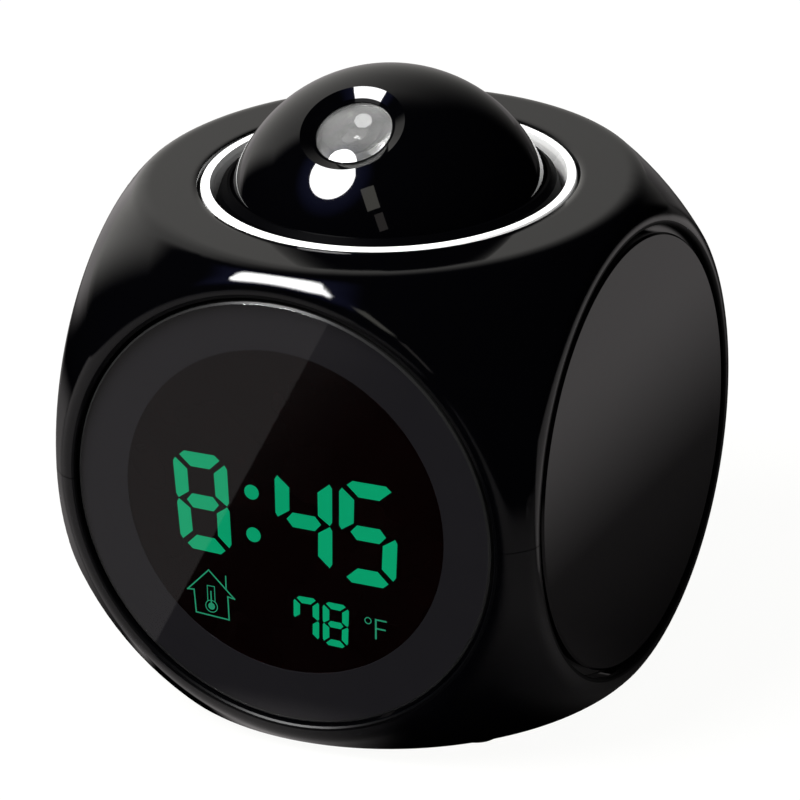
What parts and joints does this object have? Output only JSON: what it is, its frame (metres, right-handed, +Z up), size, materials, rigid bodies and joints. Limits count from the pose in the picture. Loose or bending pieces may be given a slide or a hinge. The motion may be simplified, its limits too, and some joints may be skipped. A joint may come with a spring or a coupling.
{
  "type": "projection alarm clock",
  "caption": "Bedside alarm clock shaped as a ball cut by six flat faces, with a round front display and a projector ball that tilts and turns in a white collar on top.",
  "frame": {"origin": "on the surface the feet stand on, under the middle of the clock's outline box", "axes": "+Z up, the display faces -Y, +X is to the right of someone who reads the display"},
  "size_m": [0.085, 0.085, 0.1018],
  "materials": {
    "shell_black": "polished black ABS",
    "disc_black": "polished black, slightly smoother than the shell",
    "window_tint": "clear acrylic, lightly tinted",
    "mask_grey": "dark grey printed film",
    "display_glass": "liquid crystal glass, black with green segments",
    "inner_black": "fine moulded texture",
    "light_guide": "milky",
    "circuit_board": "green solder mask",
    "chip_black": "moulded resin",
    "screw_steel": "zinc plated",
    "panel_black": "fine matt texture",
    "button_black": "smooth satin",
    "speaker_metal": "pressed steel",
    "speaker_paper": "formed film",
    "cell_jacket": "plain printed jacket on steel",
    "contact_steel": "nickel plated",
    "collar_white": "white, smooth",
    "ball_black": "polished black ABS",
    "lens_clear": "clear moulded lens",
    "film": "dark film in a thin frame",
    "diode": "clear resin",
    "foot_rubber": "matt"
  },
  "bodies": {
    "case": {"upper_shell": "shell_black", "lower_shell": "shell_black", "front_window": "window_tint", "window_mask": "mask_grey", "display_panel": "display_glass", "display_frame": "inner_black", "backlight": "light_guide", "main_board": "circuit_board", "board_chips": "chip_black", "board_screws": "screw_steel", "side_disc_left": "disc_black", "side_disc_right": "disc_black", "rear_panel": "panel_black", "key_board": "circuit_board", "key_switches": "chip_black", "speaker_basket": "speaker_metal", "speaker_cone": "speaker_paper", "battery_cell_1": "cell_jacket", "battery_cell_2": "cell_jacket", "battery_cell_3": "cell_jacket", "contact_springs": "contact_steel", "contact_plates": "contact_steel", "collar_ring": "collar_white", "carrier_plate": "inner_black", "press_springs": "contact_steel", "talk_switch": "chip_black", "case_screws": "screw_steel", "foot_1": "foot_rubber", "foot_2": "foot_rubber", "foot_3": "foot_rubber", "foot_4": "foot_rubber"},
    "press": {"press_ring": "inner_black"},
    "socket": {"socket": "ball_black"},
    "ball": {"ball_top": "ball_black", "ball_base": "ball_black", "pivot_pins": "screw_steel", "ball_screws": "screw_steel", "lens_tube": "inner_black", "lens": "lens_clear", "film_slide": "film", "light_board": "circuit_board", "light_source": "diode"},
    "button_1": {"button_1": "button_black"},
    "button_2": {"button_2": "button_black"},
    "button_3": {"button_3": "button_black"},
    "button_4": {"button_4": "button_black"},
    "battery_door": {"battery_door": "shell_black"}
  },
  "joints": [
    {"name": "projector_press", "type": "slide", "parent": "case", "child": "press", "axis": [0, 0, -1], "range_m": [0, 0.0012], "stiffness_N_per_m": 2500, "springref_m": -0.001, "deforming": ["press_springs"]},
    {"name": "projector_swivel", "type": "hinge", "parent": "press", "child": "socket", "pos_m": [0, 0, 0.0749], "axis": [0, 0, 1], "range_deg": [-90, 90]},
    {"name": "projector_tilt", "type": "hinge", "parent": "socket", "child": "ball", "pos_m": [0, 0, 0.0749], "axis": [1, 0, 0], "range_deg": [-49, 22]},
    {"name": "button_1_press", "type": "slide", "parent": "case", "child": "button_1", "axis": [0, -1, 0], "range_m": [0, 0.0005], "stiffness_N_per_m": 800, "springref_m": -0.0005},
    {"name": "button_2_press", "type": "slide", "parent": "case", "child": "button_2", "axis": [0, -1, 0], "range_m": [0, 0.0005], "stiffness_N_per_m": 800, "springref_m": -0.0005},
    {"name": "button_3_press", "type": "slide", "parent": "case", "child": "button_3", "axis": [0, -1, 0], "range_m": [0, 0.0005], "stiffness_N_per_m": 800, "springref_m": -0.0005},
    {"name": "button_4_press", "type": "slide", "parent": "case", "child": "button_4", "axis": [0, -1, 0], "range_m": [0, 0.0005], "stiffness_N_per_m": 800, "springref_m": -0.0005},
    {"name": "battery_door_hinge", "type": "hinge", "parent": "case", "child": "battery_door", "pos_m": [0, 0.02635, 0.0021], "axis": [1, 0, 0], "range_deg": [0, 75]}
  ]
}
